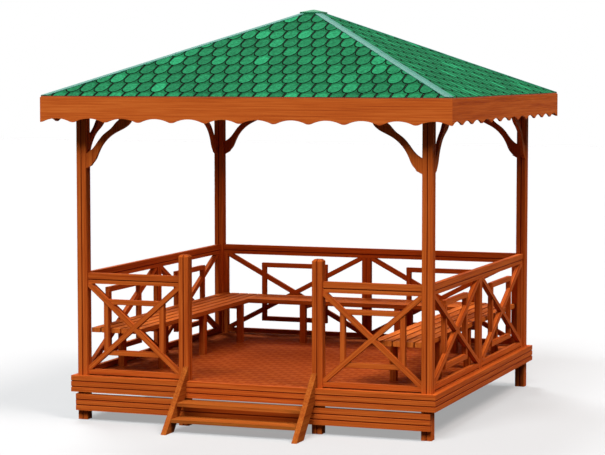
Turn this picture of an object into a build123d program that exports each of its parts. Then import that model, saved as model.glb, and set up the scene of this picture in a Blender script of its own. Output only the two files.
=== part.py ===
from build123d import *
import math
import os

os.makedirs("parts", exist_ok=True)

# A square timber garden gazebo with bench seats, two steps and a pyramid roof.
# Millimetres. X runs along the front, +Y to the back, +Z up, ground at Z = 0.
# Distances named "outer" and "half" are measured from the centre of the plan.

# ---- posts and newels ----
post_size = 90
post_outer = 1571            # outer faces of the corner posts
post_corner = 8              # rounded arrises
groove_width = 12            # V groove down the middle of every face
newel_gap = 1094             # clear width of the entrance between the newels
newel_height = 1436
newel_bevel = 18             # weathered top of each newel
newel_line_height = 1317     # fine line cut round each newel
newel_line_depth = 2
newel_line_width = 4

# ---- floor ----
floor_top = 380
deck_thickness = 25
rim_thickness = 44
rim_depth = 139
rim_grooves = (47, 95)       # below the floor
skirt_top = 225
skirt_depth = 141
skirt_grooves = (49, 95)     # below the skirt's top
joist_width = 45
joist_depth = 90
joist_count = 7
joist_edge = 221             # outer faces of the posts to the last joist's centre

# ---- steps ----
step_run = 435               # front of the floor to the foot of the stringers
stringer_thickness = 45
stringer_top = 500           # against the newels
stringer_notch = 103         # seat on the rim board, measured down its front
stringer_foot = 170          # length that stands on the ground
tread_thickness = 28
tread_depth = 200
upper_tread_top = 230
upper_tread_reach = 205      # front of the floor to the front of the tread
lower_tread_top = 114
lower_tread_reach = 326

# ---- handrails and lattice panels ----
rail_thickness = 45
handrail_top = 1254
handrail_depth = 90
handrail_line_top = 49       # below the handrail's top
handrail_line_width = 10
handrail_line_depth = 6
handrail_step = 3            # lower band set back from the upper band
bottom_rail_lift = 8         # clear of the floor
bottom_rail_depth = 44
stile_width = 45
stile_groove = 6             # line between the two middle stiles of a side
bar_width = 44
bar_depth = 42
brace_setback = 20           # braces behind the outer face of the posts
square_setback = 28          # inner rectangles behind the outer face of the posts
front_rectangle = (557, 477)
bay_rectangle = (674, 572)
front_rectangle_height = 795  # centre of the rectangle above the ground
bay_rectangle_height = 799

# ---- benches ----
seat_top = 780
seat_depth = 451
slat_count = 5
slat_gap = 12
slat_thickness = 40
leg_size = 55
leg_setback = 15             # back legs in from the back of the seat
leg_rail_depth = 40          # rail that joins each front leg to its back leg
leg_rail_width = 45
side_leg_places = (-958, -40, 878)   # along Y
back_leg_places = (-483, 458)        # along X

# ---- eaves ----
eaves_reach = 223            # outer faces of the posts to the fascia's
fascia_thickness = 15
fascia_top = 2747
fascia_depth = 209           # to the tips of the scallops
beam_drop = 7                # top of the beam below the top of the fascia
beam_depth = 130
scallop_rise = 32
scallop_count = 12
scallop_drop_share = 0.17    # share of each scallop taken by its rounded drop

# ---- brackets ----
bracket_setback = 6          # back from the outer face of the post
bracket_thickness = 30
bracket_inside = (           # upper edge: from the face of the post, below the beam
    (0, 341), (59, 300), (110, 237), (171, 171), (236, 122), (281, 73), (315, 0),
)
bracket_outside = (          # lower edge, from the head back to the foot
    (424, 0), (410, 73), (353, 122), (286, 155), (229, 188), (175, 236),
    (139, 283), (107, 346), (73, 407), (49, 436), (0, 466),
)
bracket_inside_slope = 0.5   # rise over run where the edge leaves the post
bracket_outside_slope = 0.55

# ---- roof ----
roof_edge = 10               # covering that laps over the fascia
roof_edge_setback = 6
roof_slope = 0.4185          # rise over run, 23 degrees
roof_build = 30              # boards and shingles, measured plumb
rafter_width = 45
rafter_build = 98            # measured plumb
jack_rafters = (590, 1180)   # either side of the middle rafter
king_half = 70
king_drop = 260              # block below the meeting of the rafters
apex_half = 80               # the roof boards stop here, under the cap
strip_width = 110            # weathering strip folded over each hip
strip_build = 5
cap_half = 96
cap_lip = 12
cap_height = 32              # above the top edge of the roof boards
cap_crown_half = 8

# ---- worked out from the sizes above ----
post_inner = post_outer - post_size
groove_side = groove_width / math.sqrt(2)
fascia_outer = post_outer + eaves_reach
rim_outer = post_outer + rim_thickness
step_reach = rim_outer + step_run
plan_y = (step_reach - fascia_outer) / 2
rim_bottom = floor_top - rim_depth
joist_pitch = 2 * (post_outer - joist_edge) / (joist_count - 1)
deck_bottom = floor_top - deck_thickness
newel_inner = newel_gap / 2
newel_centre = newel_inner + post_size / 2
newel_outer = newel_inner + post_size
rail_outer = post_outer - (post_size - rail_thickness) / 2
rail_inner = rail_outer - rail_thickness
handrail_bottom = handrail_top - handrail_depth
bottom_rail_top = floor_top + bottom_rail_lift + bottom_rail_depth
seat_inner = post_inner - seat_depth
seat_bottom = seat_top - slat_thickness
beam_top = fascia_top - beam_drop
beam_bottom = beam_top - beam_depth
scallop_tip = fascia_top - fascia_depth
fascia_inner = fascia_outer - fascia_thickness
eave_half = fascia_outer - roof_edge_setback
eave_top = fascia_top + roof_edge
roof_taper = 90 - math.degrees(math.atan(roof_slope))
board_eave = eave_top + (eave_half - fascia_inner) * roof_slope - roof_build
apex_top = eave_top + (eave_half - apex_half) * roof_slope
cap_top = apex_top + cap_height
sides = {"front": 0, "right": 90, "back": 180, "left": 270}


def plan(angle=0, height=0):
    """Level plane at a height, turned so that one side faces its own -Y."""
    turned = Location((0, plan_y, height), (0, 0, angle))
    return Plane(turned)


def face(angle, distance):
    """Upright plane parallel to one side: x to the right, y up, normal outward."""
    upright = Plane(origin=(0, -distance, 0), x_dir=(1, 0, 0), z_dir=(0, -1, 0))
    return Plane(plan(angle).location * upright.location)


def across(angle, along=0):
    """Upright plane square to one side: x is inward, y up, normal to the right."""
    upright = Plane(origin=(along, 0, 0), x_dir=(0, 1, 0), z_dir=(1, 0, 0))
    return Plane(plan(angle).location * upright.location)


def save(part, label):
    """Name a finished piece and write its file."""
    part.label = label
    export_step(part, f"parts/{label}.step")


def grooved_section():
    """Post section with rounded arrises and a V groove in every face."""
    with BuildSketch() as section:
        RectangleRounded(post_size, post_size, post_corner)
        with PolarLocations(post_size / 2, 4):
            Rectangle(groove_side, groove_side, rotation=45, mode=Mode.SUBTRACT)
    return section.sketch


# ---- corner posts: from the ground up to the eaves beam ----
post_centre = post_outer - post_size / 2
for label, x, y in (
    ("post_front_left", -post_centre, -post_centre),
    ("post_front_right", post_centre, -post_centre),
    ("post_back_left", -post_centre, post_centre),
    ("post_back_right", post_centre, post_centre),
):
    with BuildPart() as post:
        with BuildSketch(plan()):
            with Locations((x, y)):
                add(grooved_section())
        extrude(amount=beam_bottom)
    save(post.part, label)

# ---- newels either side of the entrance ----
with BuildPart() as newels:
    with BuildSketch(plan()):
        with Locations((-newel_centre, -post_centre), (newel_centre, -post_centre)):
            add(grooved_section())
    extrude(amount=newel_height)
    for x in (-newel_centre, newel_centre):
        with BuildSketch(plan(0, newel_line_height - newel_line_width / 2)):
            with Locations((x, -post_centre)):
                Rectangle(post_size, post_size)
                inner = post_size - 2 * newel_line_depth
                Rectangle(inner, inner, mode=Mode.SUBTRACT)
        extrude(amount=newel_line_width, mode=Mode.SUBTRACT)
        for turn in (0, 90, 180, 270):
            spot = Location((x, -post_centre, newel_height), (0, 0, turn))
            bevel = Plane(plan().location * spot * Plane.XZ.location)
            with BuildSketch(bevel):
                with Locations((post_size / 2, 0)):
                    Rectangle(
                        newel_bevel * math.sqrt(2),
                        newel_bevel * math.sqrt(2),
                        rotation=45,
                    )
            extrude(amount=post_size, both=True, mode=Mode.SUBTRACT)
save(newels.part, "newels")

# ---- rim boards round the floor, mitred at the corners ----
for name, angle in sides.items():
    with BuildPart() as rim:
        with BuildSketch(plan(angle, rim_bottom)):
            Polygon(
                (-rim_outer, -rim_outer),
                (rim_outer, -rim_outer),
                (post_outer, -post_outer),
                (-post_outer, -post_outer),
                align=None,
            )
        extrude(amount=rim_depth)
        with BuildSketch(across(angle)):
            with Locations(*[(-rim_outer, floor_top - drop) for drop in rim_grooves]):
                Rectangle(groove_side, groove_side, rotation=45)
        extrude(amount=rim_outer, both=True, mode=Mode.SUBTRACT)
    save(rim.part, f"rim_{name}")

# ---- second board under the front rim ----
with BuildPart() as skirt:
    with BuildSketch(across(0)):
        with Locations((-post_outer - rim_thickness / 2, skirt_top - skirt_depth / 2)):
            Rectangle(rim_thickness, skirt_depth)
        with Locations(*[(-rim_outer, skirt_top - drop) for drop in skirt_grooves]):
            Rectangle(groove_side, groove_side, rotation=45, mode=Mode.SUBTRACT)
    extrude(amount=post_outer, both=True)
save(skirt.part, "front_skirt")

# ---- floor: boards on joists that hang between the front and back rims ----
with BuildPart() as floor_deck:
    with BuildSketch(plan(0, deck_bottom)):
        Rectangle(2 * post_outer, 2 * post_outer)
        with GridLocations(2 * post_centre, 2 * post_centre, 2, 2):
            Rectangle(post_size, post_size, mode=Mode.SUBTRACT)
        with Locations((-newel_centre, -post_centre), (newel_centre, -post_centre)):
            Rectangle(post_size, post_size, mode=Mode.SUBTRACT)
    extrude(amount=deck_thickness)
save(floor_deck.part, "floor_deck")

with BuildPart() as floor_joists:
    with BuildSketch(plan(0, deck_bottom - joist_depth)):
        with GridLocations(joist_pitch, 0, joist_count, 1):
            Rectangle(joist_width, 2 * post_outer)
    extrude(amount=joist_depth)
save(floor_joists.part, "floor_joists")

# ---- steps ----
with BuildPart() as step_stringers:
    for x in (-newel_inner - stringer_thickness, newel_inner):
        with BuildSketch(across(0, x)):
            Polygon(
                (-step_reach, 0),
                (-post_outer, stringer_top),
                (-post_outer, floor_top),
                (-rim_outer, floor_top),
                (-rim_outer, floor_top - stringer_notch),
                (-step_reach + stringer_foot, 0),
                align=None,
            )
        extrude(amount=stringer_thickness)
save(step_stringers.part, "step_stringers")

with BuildPart() as step_treads:
    for front, top in (
        (rim_outer + upper_tread_reach, upper_tread_top),
        (rim_outer + lower_tread_reach, lower_tread_top),
    ):
        with BuildSketch(across(0)):
            with Locations((-front + tread_depth / 2, top - tread_thickness / 2)):
                Rectangle(tread_depth, tread_thickness)
        extrude(amount=newel_inner, both=True)
save(step_treads.part, "step_treads")


# ---- handrails: an upper band, a cut line and a lower band ----
def handrails(angle, spans):
    """Handrails along one side, one for each (from, to) span."""
    line_top = handrail_top - handrail_line_top
    line_bottom = line_top - handrail_line_width
    with BuildPart() as rails:
        for start, end in spans:
            with BuildSketch(across(angle, start)):
                with Locations((-(rail_outer + rail_inner) / 2, 0)):
                    with Locations((0, (handrail_top + line_top) / 2)):
                        Rectangle(rail_thickness, handrail_top - line_top)
                    with Locations((0, (line_top + line_bottom) / 2)):
                        Rectangle(
                            rail_thickness - 2 * handrail_line_depth,
                            handrail_line_width,
                        )
                    with Locations((0, (line_bottom + handrail_bottom) / 2)):
                        Rectangle(
                            rail_thickness - 2 * handrail_step,
                            line_bottom - handrail_bottom,
                        )
            extrude(amount=end - start)
    return rails.part


front_spans = ((-post_inner, -newel_outer), (newel_outer, post_inner))
save(handrails(sides["front"], front_spans), "handrail_front")
for name in ("right", "back", "left"):
    save(handrails(sides[name], ((-post_inner, post_inner),)), f"handrail_{name}")


# ---- lattice panels under the handrails ----
def lattice(angle, bays, rectangle, rectangle_height, stile):
    """Panels along one side: stiles, a bottom rail, a rectangle and a cross."""
    width, height = rectangle
    opening_height = handrail_bottom - bottom_rail_top
    with BuildPart() as panel:
        for start, end in bays:
            middle = (start + end) / 2
            opening = end - start - 2 * stile
            centre = (middle, (handrail_bottom + bottom_rail_top) / 2)
            with BuildSketch(face(angle, rail_outer)):
                with Locations((middle, bottom_rail_top - bottom_rail_depth / 2)):
                    Rectangle(opening, bottom_rail_depth)
                if stile > 0:
                    with Locations((middle, (handrail_bottom + floor_top) / 2)):
                        with GridLocations(opening + stile, 0, 2, 1):
                            Rectangle(stile, handrail_bottom - floor_top)
            extrude(amount=-rail_thickness)
            with BuildSketch(face(angle, post_outer - square_setback)):
                with Locations((middle, rectangle_height)):
                    Rectangle(width, height)
                    Rectangle(
                        width - 2 * bar_width,
                        height - 2 * bar_width,
                        mode=Mode.SUBTRACT,
                    )
            extrude(amount=-bar_depth)
            lean = math.degrees(math.atan2(opening_height, opening))
            reach = math.hypot(opening, opening_height) + 2 * bar_width
            with BuildSketch(face(angle, post_outer - brace_setback)):
                with Locations(centre):
                    Rectangle(reach, bar_width, rotation=lean)
                    Rectangle(reach, bar_width, rotation=-lean)
                    Rectangle(opening, opening_height, mode=Mode.INTERSECT)
            extrude(amount=-bar_depth)
        if stile > 0:
            with BuildSketch(plan(angle, floor_top)):
                with GridLocations(0, rail_thickness, 1, 2):
                    with Locations((0, -(rail_outer + rail_inner) / 2)):
                        Rectangle(stile_groove, stile_groove, rotation=45)
            extrude(amount=handrail_bottom - floor_top, mode=Mode.SUBTRACT)
    return panel.part


side_bays = ((-post_inner, 0), (0, post_inner))
save(
    lattice(0, front_spans, front_rectangle, front_rectangle_height, 0),
    "panels_front",
)
for name in ("right", "back", "left"):
    save(
        lattice(
            sides[name],
            side_bays,
            bay_rectangle,
            bay_rectangle_height,
            stile_width,
        ),
        f"panel_{name}",
    )


# ---- benches along three sides ----
def bench(angle, half_length):
    """Five thick boards side by side; the rails between the legs carry them."""
    slat_width = (seat_depth - (slat_count - 1) * slat_gap) / slat_count
    with BuildPart() as seat:
        with BuildSketch(plan(angle, seat_bottom)):
            with Locations((0, -(post_inner + seat_inner) / 2)):
                with GridLocations(0, slat_width + slat_gap, 1, slat_count):
                    Rectangle(2 * half_length, slat_width)
        extrude(amount=slat_thickness)
    return seat.part


save(bench(sides["right"], post_inner), "bench_right")
save(bench(sides["left"], post_inner), "bench_left")
save(bench(sides["back"], seat_inner), "bench_back")

# Places along each side's own X, which runs to the right seen from outside.
bench_legs_right = side_leg_places
bench_legs_left = tuple(-place for place in side_leg_places)
bench_legs_back = tuple(-place for place in back_leg_places)
front_row = -seat_inner - leg_size / 2
rear_row = -post_inner + leg_setback + leg_size / 2
with BuildPart() as bench_legs:
    for angle, places in (
        (sides["right"], bench_legs_right),
        (sides["left"], bench_legs_left),
        (sides["back"], bench_legs_back),
    ):
        with BuildSketch(plan(angle, floor_top)):
            for row in (front_row, rear_row):
                with Locations(*[(x, row) for x in places]):
                    Rectangle(leg_size, leg_size)
        extrude(amount=seat_bottom - floor_top)
        with BuildSketch(plan(angle, seat_bottom - leg_rail_depth)):
            with Locations(*[(x, (front_row + rear_row) / 2) for x in places]):
                Rectangle(leg_rail_width, front_row - rear_row)
        extrude(amount=leg_rail_depth)
save(bench_legs.part, "bench_legs")

# ---- curved brackets: an S-shaped board from each post up to the beam ----
for label, pairs in (
    ("brackets_front_left", (("front", -1), ("left", 1))),
    ("brackets_front_right", (("front", 1), ("right", -1))),
    ("brackets_back_right", (("right", 1), ("back", -1))),
    ("brackets_back_left", (("back", 1), ("left", -1))),
):
    with BuildPart() as brackets:
        for name, hand in pairs:
            upper = [
                (hand * (post_inner - out), beam_bottom - down)
                for out, down in bracket_inside
            ]
            lower = [
                (hand * (post_inner - out), beam_bottom - down)
                for out, down in bracket_outside
            ]
            with BuildSketch(face(sides[name], post_outer - bracket_setback)):
                with BuildLine():
                    Spline(*upper, tangents=((-hand, bracket_inside_slope), (0, 1)))
                    Line(upper[-1], lower[0])
                    Spline(*lower, tangents=((0, -1), (hand, -bracket_outside_slope)))
                    Line(lower[-1], upper[0])
                make_face()
            extrude(amount=-bracket_thickness)
    save(brackets.part, label)

# ---- eaves beam on the post tops ----
with BuildPart() as eaves_beam:
    with BuildSketch(plan(0, beam_bottom)):
        Rectangle(2 * post_outer, 2 * post_outer)
        Rectangle(2 * post_inner, 2 * post_inner, mode=Mode.SUBTRACT)
    extrude(amount=beam_top - beam_bottom)
save(eaves_beam.part, "eaves_beam")

# ---- scalloped fascia boards, mitred at the corners ----
scallop_pitch = 2 * fascia_outer / scallop_count
drop_half = scallop_drop_share * scallop_pitch / 2
arch_half = scallop_pitch / 2 - drop_half
spring = scallop_tip + scallop_rise * drop_half / (drop_half + arch_half)
for name, angle in sides.items():
    with BuildPart() as fascia:
        with BuildSketch(plan(angle, scallop_tip)):
            Polygon(
                (-fascia_outer, -fascia_outer),
                (fascia_outer, -fascia_outer),
                (fascia_inner, -fascia_inner),
                (-fascia_inner, -fascia_inner),
                align=None,
            )
        extrude(amount=fascia_top - scallop_tip)
        with BuildSketch(face(angle, fascia_outer)):
            with BuildLine():
                low = scallop_tip - scallop_rise
                for index in range(scallop_count):
                    tip = -fascia_outer + index * scallop_pitch
                    arch = tip + scallop_pitch / 2
                    if index == 0:
                        Line((tip, low), (tip, scallop_tip))
                    sag = (spring - scallop_tip) / 4
                    ThreePointArc(
                        (tip, scallop_tip),
                        (tip + drop_half / 2, scallop_tip + sag),
                        (tip + drop_half, spring),
                    )
                    ThreePointArc(
                        (tip + drop_half, spring),
                        (arch, scallop_tip + scallop_rise),
                        (arch + arch_half, spring),
                    )
                    ThreePointArc(
                        (arch + arch_half, spring),
                        (arch + arch_half + drop_half / 2, scallop_tip + sag),
                        (tip + scallop_pitch, scallop_tip),
                    )
                Polyline(
                    (fascia_outer, scallop_tip),
                    (fascia_outer, low),
                    (-fascia_outer, low),
                )
            make_face()
        extrude(amount=-fascia_thickness, mode=Mode.SUBTRACT)
    save(fascia.part, f"fascia_{name}")

# ---- roof frame: hip, common and jack rafters round a king block ----
def rafter_layer(bars, cuts):
    """Even layer under the roof boards, kept only where the plan has bars."""
    with BuildPart() as layer:
        with BuildSketch(plan(0, board_eave - rafter_build)):
            Rectangle(2 * fascia_inner, 2 * fascia_inner)
        extrude(amount=rafter_build)
        with BuildSketch(plan(0, board_eave)):
            Rectangle(2 * fascia_inner, 2 * fascia_inner)
        extrude(amount=frame_rise, taper=roof_taper)
        with BuildSketch(plan(0, board_eave - rafter_build)):
            Rectangle(2 * fascia_inner, 2 * fascia_inner)
        extrude(amount=frame_rise, taper=roof_taper, mode=Mode.SUBTRACT)
        with BuildSketch(plan(0, board_eave - rafter_build)):
            for x, y, length, turn in bars:
                with Locations((x, y)):
                    Rectangle(length, rafter_width, rotation=turn)
            for length, turn in cuts:
                Rectangle(length, rafter_width, rotation=turn, mode=Mode.SUBTRACT)
            Rectangle(2 * king_half, 2 * king_half, mode=Mode.SUBTRACT)
        extrude(amount=2 * frame_rise, mode=Mode.INTERSECT)
        with BuildSketch(plan(0, beam_bottom)):
            Rectangle(2 * post_outer, 2 * post_outer)
            Rectangle(2 * post_inner, 2 * post_inner, mode=Mode.SUBTRACT)
        extrude(amount=beam_top - beam_bottom, mode=Mode.SUBTRACT)
    return layer.part


frame_rise = (fascia_inner - apex_half) * roof_slope
hip_reach = 4 * fascia_inner
save(rafter_layer(((0, 0, hip_reach, 45), (0, 0, hip_reach, -45)), ()), "hip_rafters")
straight_bars = [(0, 0, 2 * fascia_inner, 0), (0, 0, 2 * fascia_inner, 90)]
for offset in jack_rafters:
    for hand in (-1, 1):
        jack_length = fascia_inner - offset
        jack_middle = hand * (fascia_inner + offset) / 2
        for place in (-offset, offset):
            straight_bars.append((jack_middle, place, jack_length, 0))
            straight_bars.append((place, jack_middle, jack_length, 90))
save(rafter_layer(straight_bars, ((hip_reach, 45), (hip_reach, -45))), "rafters")

with BuildPart() as king_block:
    with BuildSketch(plan(0, board_eave + frame_rise - king_drop)):
        Rectangle(2 * king_half, 2 * king_half)
    extrude(amount=king_drop)
save(king_block.part, "king_block")

# ---- four roof slopes: boards and shingles together ----
for name, angle in sides.items():
    with BuildPart() as slope:
        with BuildSketch(across(angle)):
            Polygon(
                (-eave_half, eave_top),
                (-apex_half, apex_top),
                (-apex_half, apex_top - roof_build),
                (-fascia_inner, board_eave),
                (-fascia_inner, fascia_top),
                (-eave_half, fascia_top),
                align=None,
            )
        extrude(amount=eave_half, both=True)
        with BuildSketch(plan(angle, fascia_top - roof_build)):
            Polygon(
                (0, 0),
                (-fascia_outer, -fascia_outer),
                (fascia_outer, -fascia_outer),
                align=None,
            )
        extrude(amount=cap_top - fascia_top + roof_build, mode=Mode.INTERSECT)
    save(slope.part, f"roof_{name}")

# ---- weathering strips folded over the hips ----
with BuildPart() as hip_strips:
    with BuildSketch(plan(0, eave_top)):
        Rectangle(2 * eave_half, 2 * eave_half)
    extrude(amount=strip_build)
    with BuildSketch(plan(0, eave_top + strip_build)):
        Rectangle(2 * eave_half, 2 * eave_half)
    extrude(amount=apex_top - eave_top, taper=roof_taper)
    with BuildSketch(plan(0, eave_top)):
        Rectangle(2 * eave_half, 2 * eave_half)
    extrude(amount=apex_top - eave_top, taper=roof_taper, mode=Mode.SUBTRACT)
    with BuildSketch(plan(0, eave_top)):
        Rectangle(4 * eave_half, strip_width, rotation=45)
        Rectangle(4 * eave_half, strip_width, rotation=-45)
        Rectangle(2 * apex_half, 2 * apex_half, mode=Mode.SUBTRACT)
    extrude(amount=cap_top - eave_top, mode=Mode.INTERSECT)
save(hip_strips.part, "hip_strips")

# ---- cap over the meeting of the hips ----
cap_bottom = apex_top + strip_build - (cap_half - apex_half) * roof_slope
with BuildPart() as roof_cap:
    with BuildSketch(plan(0, cap_bottom)):
        Rectangle(2 * cap_half, 2 * cap_half)
    extrude(amount=cap_lip)
    cap_rise = cap_top - cap_bottom - cap_lip
    cap_taper = math.degrees(math.atan((cap_half - cap_crown_half) / cap_rise))
    with BuildSketch(plan(0, cap_bottom + cap_lip)):
        Rectangle(2 * cap_half, 2 * cap_half)
    extrude(amount=cap_rise, taper=cap_taper)
    with BuildSketch(plan(0, cap_bottom)):
        Rectangle(2 * cap_half, 2 * cap_half)
    extrude(
        amount=(cap_half - apex_half) * roof_slope,
        taper=roof_taper,
        mode=Mode.SUBTRACT,
    )
save(roof_cap.part, "roof_cap")
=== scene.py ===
# %% [markdown]
# # A timber garden gazebo with a shingled pyramid roof
# The joinery comes in as a finished frame in metres: posts, rails, benches, steps and roof
# boards. This lesson gives it its looks. It stains the timber, rebuilds the lattice and
# the seats from single bars, roofs it with single felt shingles, folds strips over the
# hips, and sets up a plain studio round it.

# %% Load the frame
import bpy
import numpy as np
from mathutils import Color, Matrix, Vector


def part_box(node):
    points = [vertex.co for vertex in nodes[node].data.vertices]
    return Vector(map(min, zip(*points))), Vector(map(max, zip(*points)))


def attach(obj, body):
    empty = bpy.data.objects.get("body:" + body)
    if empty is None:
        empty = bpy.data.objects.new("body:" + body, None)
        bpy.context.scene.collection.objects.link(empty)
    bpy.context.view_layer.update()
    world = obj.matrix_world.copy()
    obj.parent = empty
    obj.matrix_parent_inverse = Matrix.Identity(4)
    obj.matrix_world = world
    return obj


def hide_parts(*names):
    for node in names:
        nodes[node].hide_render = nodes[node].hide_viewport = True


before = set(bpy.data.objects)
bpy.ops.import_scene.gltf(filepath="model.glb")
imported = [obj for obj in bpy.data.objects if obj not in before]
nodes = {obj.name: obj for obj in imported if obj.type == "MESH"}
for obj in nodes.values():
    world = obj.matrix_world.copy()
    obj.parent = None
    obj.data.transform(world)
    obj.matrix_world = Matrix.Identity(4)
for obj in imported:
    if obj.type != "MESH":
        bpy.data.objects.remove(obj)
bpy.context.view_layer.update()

# %% [markdown]
# ## Where things are
# The plan is square, so a few distances from its centre place everything: the eaves, the
# post faces, the floor and the slope of the roof. They are read from the boxes of the
# pieces, and never typed twice.

# %% Measure the frame
roof_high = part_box("roof_front")[1]
left_low, left_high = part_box("roof_left")
SIDES = ("front", "right", "back", "left")       # each a quarter turn from the last
MIDDLE = (left_low.y + left_high.y) / 2
EAVE = roof_high.x
FELT_LIFT = 0.010                # the roof's top at the eaves, above the fascia boards
EAVE_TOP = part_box("fascia_front")[1].z + FELT_LIFT
APEX = MIDDLE - roof_high.y
PITCH = (roof_high.z - EAVE_TOP) / (EAVE - APEX)
SLOPE_LENGTH = (EAVE - APEX) * np.hypot(1, PITCH)
FLOOR_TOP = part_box("floor_deck")[1].z
SKIRT_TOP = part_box("front_skirt")[1].z
HANDRAIL_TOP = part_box("handrail_front")[1].z
HANDRAIL_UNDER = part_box("handrail_front")[0].z
NEWEL_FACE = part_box("newels")[1].x
POST_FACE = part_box("post_front_right")[1].x
POST = POST_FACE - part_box("post_front_right")[0].x
INNER = POST_FACE - POST
print("roof rises", round(PITCH, 4), "per metre over", round(SLOPE_LENGTH, 3), "m")

# %% [markdown]
# ## Colours and nodes
# Colours are picked as sRGB hex values, the way a paint chart gives them, but the shader
# adds light in linear numbers, so one function converts them. A second one adds any
# shader node with its settings, values and links in a single call, and a third does sums
# with it, which keeps each material short enough to read.

# %% Helpers for materials
def paint(code):
    """Hex sRGB to linear RGBA: each channel is undone by the sRGB curve."""
    channels = [int(code[i:i + 2], 16) / 255 for i in (1, 3, 5)]
    return (*Color(channels).from_srgb_to_scene_linear(), 1.0)


def add(tree, kind, inputs=(), stops=(), **settings):
    """One node: settings are its own properties, inputs are values or sockets to link,
    and stops are the (place, hex) pairs of a colour ramp.
    """
    made = tree.nodes.new(kind)
    for name, value in settings.items():
        setattr(made, name, value)
    for socket, value in dict(inputs).items():
        if isinstance(value, bpy.types.NodeSocket):
            tree.links.new(value, made.inputs[socket])
        else:
            made.inputs[socket].default_value = value
    if stops:
        bar = made.color_ramp.elements
        while len(bar) < len(stops):
            bar.new(0.5)
        for element, (place, code) in zip(bar, stops):
            element.position, element.color = place, paint(code)
    return made


def maths(tree, operation, *inputs, **settings):
    """What a math node makes of values or sockets, such as "ADD" of 1 and 2."""
    return add(tree, "ShaderNodeMath", dict(enumerate(inputs)), operation=operation,
               **settings).outputs[0]


def new_material(name):
    """An empty material and its tree, with a shader already on the output."""
    made = bpy.data.materials.new(name)
    made.use_nodes = True
    made.node_tree.nodes.clear()
    shader = add(made.node_tree, "ShaderNodeBsdfPrincipled")
    add(made.node_tree, "ShaderNodeOutputMaterial", {"Surface": shader.outputs[0]})
    return made, made.node_tree, shader


def finish_node(name, material):
    """Gives a piece of the frame its finish in place of the plain one it came with."""
    nodes[name].data.materials.clear()
    nodes[name].data.materials.append(material)


print("red-brown in linear light:", [round(part, 3) for part in paint("#B2531D")])

# %% [markdown]
# ## Stained softwood
# The timber is planed pine under a translucent red-brown stain. Pine grows in rings, so a
# sawn face shows long streaks: pale, thirsty early wood takes more stain and late wood
# stays as fine dark lines a few millimetres apart. The streaks follow each board, so the
# pattern is a solid noise squeezed along the board's own length. A noise in space needs no
# unwrapping and carries on round every edge, as real grain does. The stain soaks in and
# leaves hardly any film, so the wood is dull and its grain can be felt as slight ridges.

# %% Which way a pattern runs
GRAIN_RUN = 0.014            # a streak is about seventy times longer than it is wide


def stretch(tree, place, flow):
    """Squeezes a place along the board: x, y or z, or uv with u along the board."""
    squeeze = {"x": (GRAIN_RUN, 1, 1), "y": (1, GRAIN_RUN, 1), "z": (1, 1, GRAIN_RUN)}
    scale = squeeze.get(flow, squeeze["x"])
    return add(tree, "ShaderNodeMapping", {"Vector": place, "Scale": scale}).outputs[0]


def from_centre(tree, place):
    """Distances |x| and |y - middle| from the plan's centre lines, and the height z."""
    split = add(tree, "ShaderNodeSeparateXYZ", {0: place}).outputs
    y = maths(tree, "SUBTRACT", split[1], MIDDLE)
    return maths(tree, "ABSOLUTE", split[0]), maths(tree, "ABSOLUTE", y), split[2]


def roof_place(tree, place):
    """Roof timbers: along the slope, across it, and the depth below the roof's plane."""
    x, y, z = from_centre(tree, place)
    out = maths(tree, "MAXIMUM", x, y)
    side = maths(tree, "MINIMUM", x, y)
    depth = maths(tree, "MULTIPLY_ADD", out, PITCH, z)
    return add(tree, "ShaderNodeCombineXYZ", {0: out, 1: side, 2: depth}).outputs[0]


print("streaks are", round(1 / GRAIN_RUN), "times longer than wide")

# %% [markdown]
# Painted shade: a darker red-brown is painted into the grooves that are planed along the
# posts, rims and rails, and along the edges of the bars, where a groove or the gap between
# two bars would lie in shade. That thin line is what makes the joinery read from far off.
# Each place is found by a formula, the distance from a known line, so nothing has to be
# painted by hand.

# %% Where painted shade darkens the grooves and edges
GROOVE_HALF = 0.0045         # half the width of the dark line
ARRIS_START = 0.80           # where the painted shade starts, towards an edge at 1
ARRIS_SHADE = 0.9
# Heights of the level grooves, below the tops of the floor, the skirt and the handrails.
LEVEL_LINES = (FLOOR_TOP - 0.047, FLOOR_TOP - 0.095, SKIRT_TOP - 0.049,
               SKIRT_TOP - 0.095, HANDRAIL_TOP - 0.054)
POST_LINE = POST_FACE - POST / 2
NEWEL_LINE = NEWEL_FACE - POST / 2
# Painted shade: the darker colour painted in the grooves and along the edges of the bars.
PAINTED_SHADE_COLOUR = "#74290E"


def in_grooves(tree, lines):
    """1 where a place is within half a groove of its line, from (place, line) pairs."""
    masks = [maths(tree, "COMPARE", value, line, GROOVE_HALF) for value, line in lines]
    whole = masks[0]
    for mask in masks[1:]:
        whole = maths(tree, "MAXIMUM", whole, mask)
    return whole


def level_lines(tree, place):
    """The grooves of the rim boards, of the skirt and under the top of the handrails."""
    z = add(tree, "ShaderNodeSeparateXYZ", {0: place}).outputs[2]
    return in_grooves(tree, [(z, line) for line in LEVEL_LINES])


def post_lines(tree, place):
    """The groove down the middle of every face of the posts and newels."""
    x, y, _ = from_centre(tree, place)
    return in_grooves(tree, [(x, POST_LINE), (y, POST_LINE), (x, NEWEL_LINE)])


def arrises(tree, _):
    """Near 1 along the edges of a bar. The Section layer runs from -1 to 1 across its face
    and down its side, and only at an edge are both near 1. A place in space isn't needed.
    """
    section = add(tree, "ShaderNodeUVMap", uv_map="Section").outputs[0]
    size = add(tree, "ShaderNodeVectorMath", {0: section}, operation="ABSOLUTE")
    split = add(tree, "ShaderNodeSeparateXYZ", {0: size.outputs[0]}).outputs
    both = maths(tree, "MINIMUM", split[0], split[1])
    # Painted shade along the edges of a bar, as dark as ARRIS_SHADE at the very edge.
    return add(tree, "ShaderNodeMapRange",
               {"Value": both, "From Min": ARRIS_START, "From Max": 1.0,
                "To Min": 0.0, "To Max": ARRIS_SHADE}).outputs["Result"]


print(len(LEVEL_LINES), "level grooves, posts grooved at", round(POST_LINE, 4))
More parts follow.
